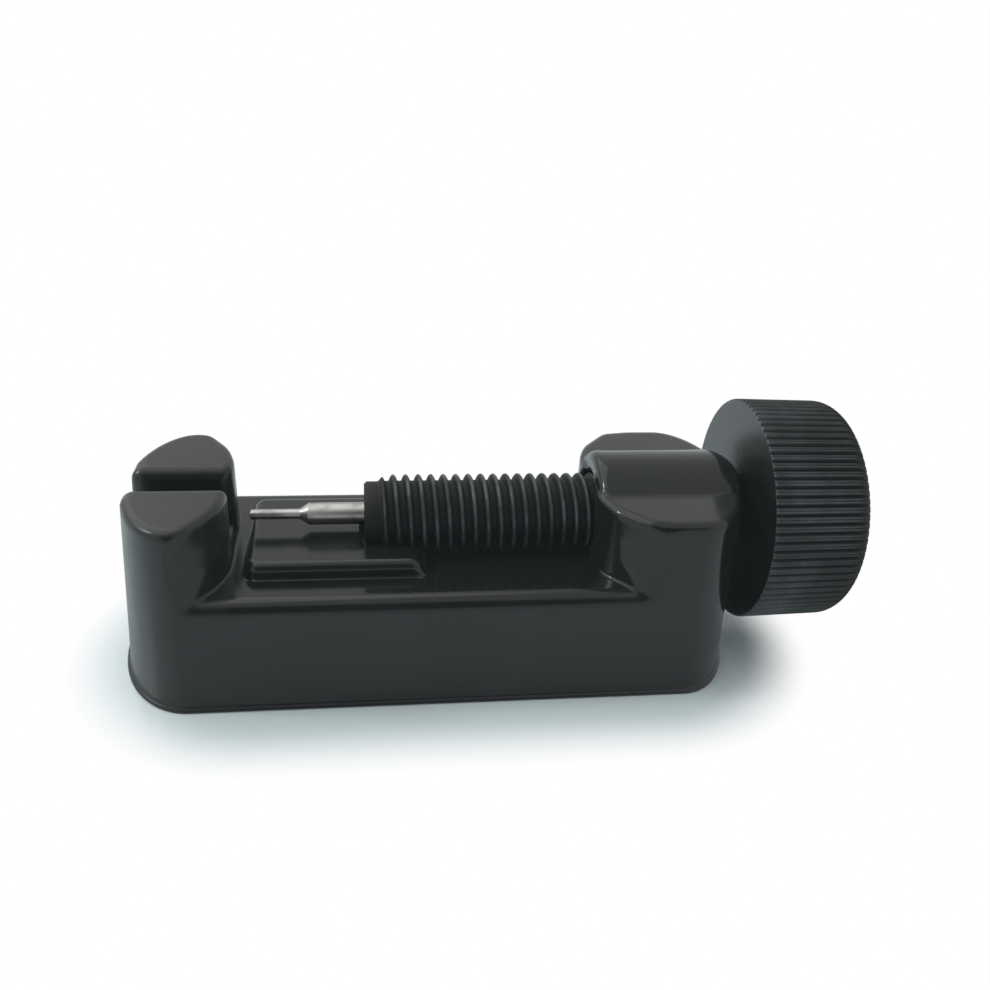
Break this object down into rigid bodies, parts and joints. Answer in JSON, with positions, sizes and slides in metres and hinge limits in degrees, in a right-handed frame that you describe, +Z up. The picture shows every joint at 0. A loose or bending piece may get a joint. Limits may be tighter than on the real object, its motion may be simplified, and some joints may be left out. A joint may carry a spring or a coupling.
{
  "type": "watch link remover",
  "caption": "Black moulded watch link remover: a cradle between a split post and a screw boss, and a knurled knob on a threaded spindle that drives a steel punch pin.",
  "frame": {"origin": "middle of the underside of the whole tool's box, on the surface that it stands on", "axes": "+X along the screw's axis from the split post to the knob, +Y to the far side in the picture, +Z up"},
  "size_m": [0.0866, 0.0278, 0.0314],
  "materials": {
    "frame_plastic": "satin gloss",
    "spindle_plastic": "satin",
    "knob_plastic": "fine matte",
    "pin_steel": "turned"
  },
  "bodies": {
    "frame": {"moulded_frame": "frame_plastic"},
    "punch": {"punch_pin": "pin_steel"},
    "screw": {"screw_spindle": "spindle_plastic", "knurled_knob": "knob_plastic"}
  },
  "joints": [
    {"name": "screw_travel", "type": "slide", "parent": "frame", "child": "punch", "axis": [1, 0, 0], "range_m": [0, 0.024]},
    {"name": "knob_turn", "type": "hinge", "parent": "punch", "child": "screw", "pos_m": [0, 0, 0.0178], "axis": [1, 0, 0], "range_deg": [0, 5761]}
  ],
  "couplings": [
    {"joint": "knob_turn", "follows": "screw_travel", "rad_per_m": 4188.8}
  ]
}
